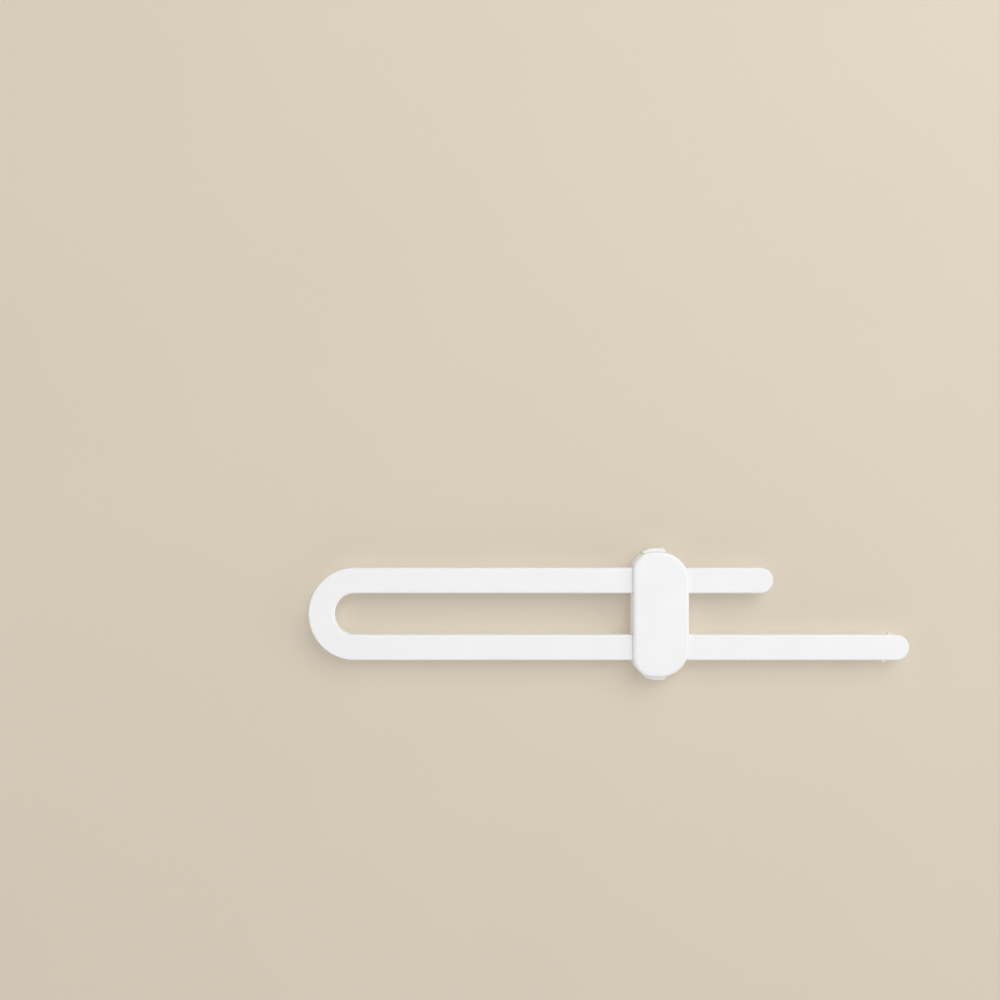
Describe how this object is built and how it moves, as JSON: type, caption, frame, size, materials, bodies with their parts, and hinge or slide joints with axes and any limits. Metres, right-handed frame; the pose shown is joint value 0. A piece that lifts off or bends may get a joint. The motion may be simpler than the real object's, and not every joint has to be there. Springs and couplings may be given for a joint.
{
  "type": "sliding cabinet safety lock",
  "caption": "U-shaped ratchet rail with a squeeze-button slider that ties the handles of a double-door cabinet together.",
  "frame": {"origin": "middle of the bounding box in plan, on the back face of the slider, where the lock lies flat", "axes": "+X along the arms from the bow to the tips, +Y across the arms towards the short arm, +Z out of the front face"},
  "size_m": [0.2602, 0.057, 0.0124],
  "materials": {
    "rail_plastic": "white moulded plastic, satin",
    "housing_plastic": "white moulded plastic, satin",
    "button_plastic": "white moulded plastic, satin",
    "spring_steel": "drawn spring wire",
    "screw_steel": "zinc-plated steel"
  },
  "bodies": {
    "rail": {"rail": "rail_plastic"},
    "slider": {"front_housing": "housing_plastic", "back_cover": "housing_plastic", "upper_spring": "spring_steel", "lower_spring": "spring_steel", "upper_screw": "screw_steel", "lower_screw": "screw_steel"},
    "upper_button": {"upper_button": "button_plastic"},
    "lower_button": {"lower_button": "button_plastic"}
  },
  "joints": [
    {"name": "slider_slide", "type": "slide", "parent": "rail", "child": "slider", "axis": [1, 0, 0], "range_m": [-0.114, 0.084]},
    {"name": "upper_button_press", "type": "slide", "parent": "slider", "child": "upper_button", "axis": [0, -1, 0], "range_m": [0, 0.0013], "stiffness_N_per_m": 500, "springref_m": -0.004, "deforming": ["upper_spring"]},
    {"name": "lower_button_press", "type": "slide", "parent": "slider", "child": "lower_button", "axis": [0, 1, 0], "range_m": [0, 0.0013], "stiffness_N_per_m": 500, "springref_m": -0.004, "deforming": ["lower_spring"]}
  ]
}
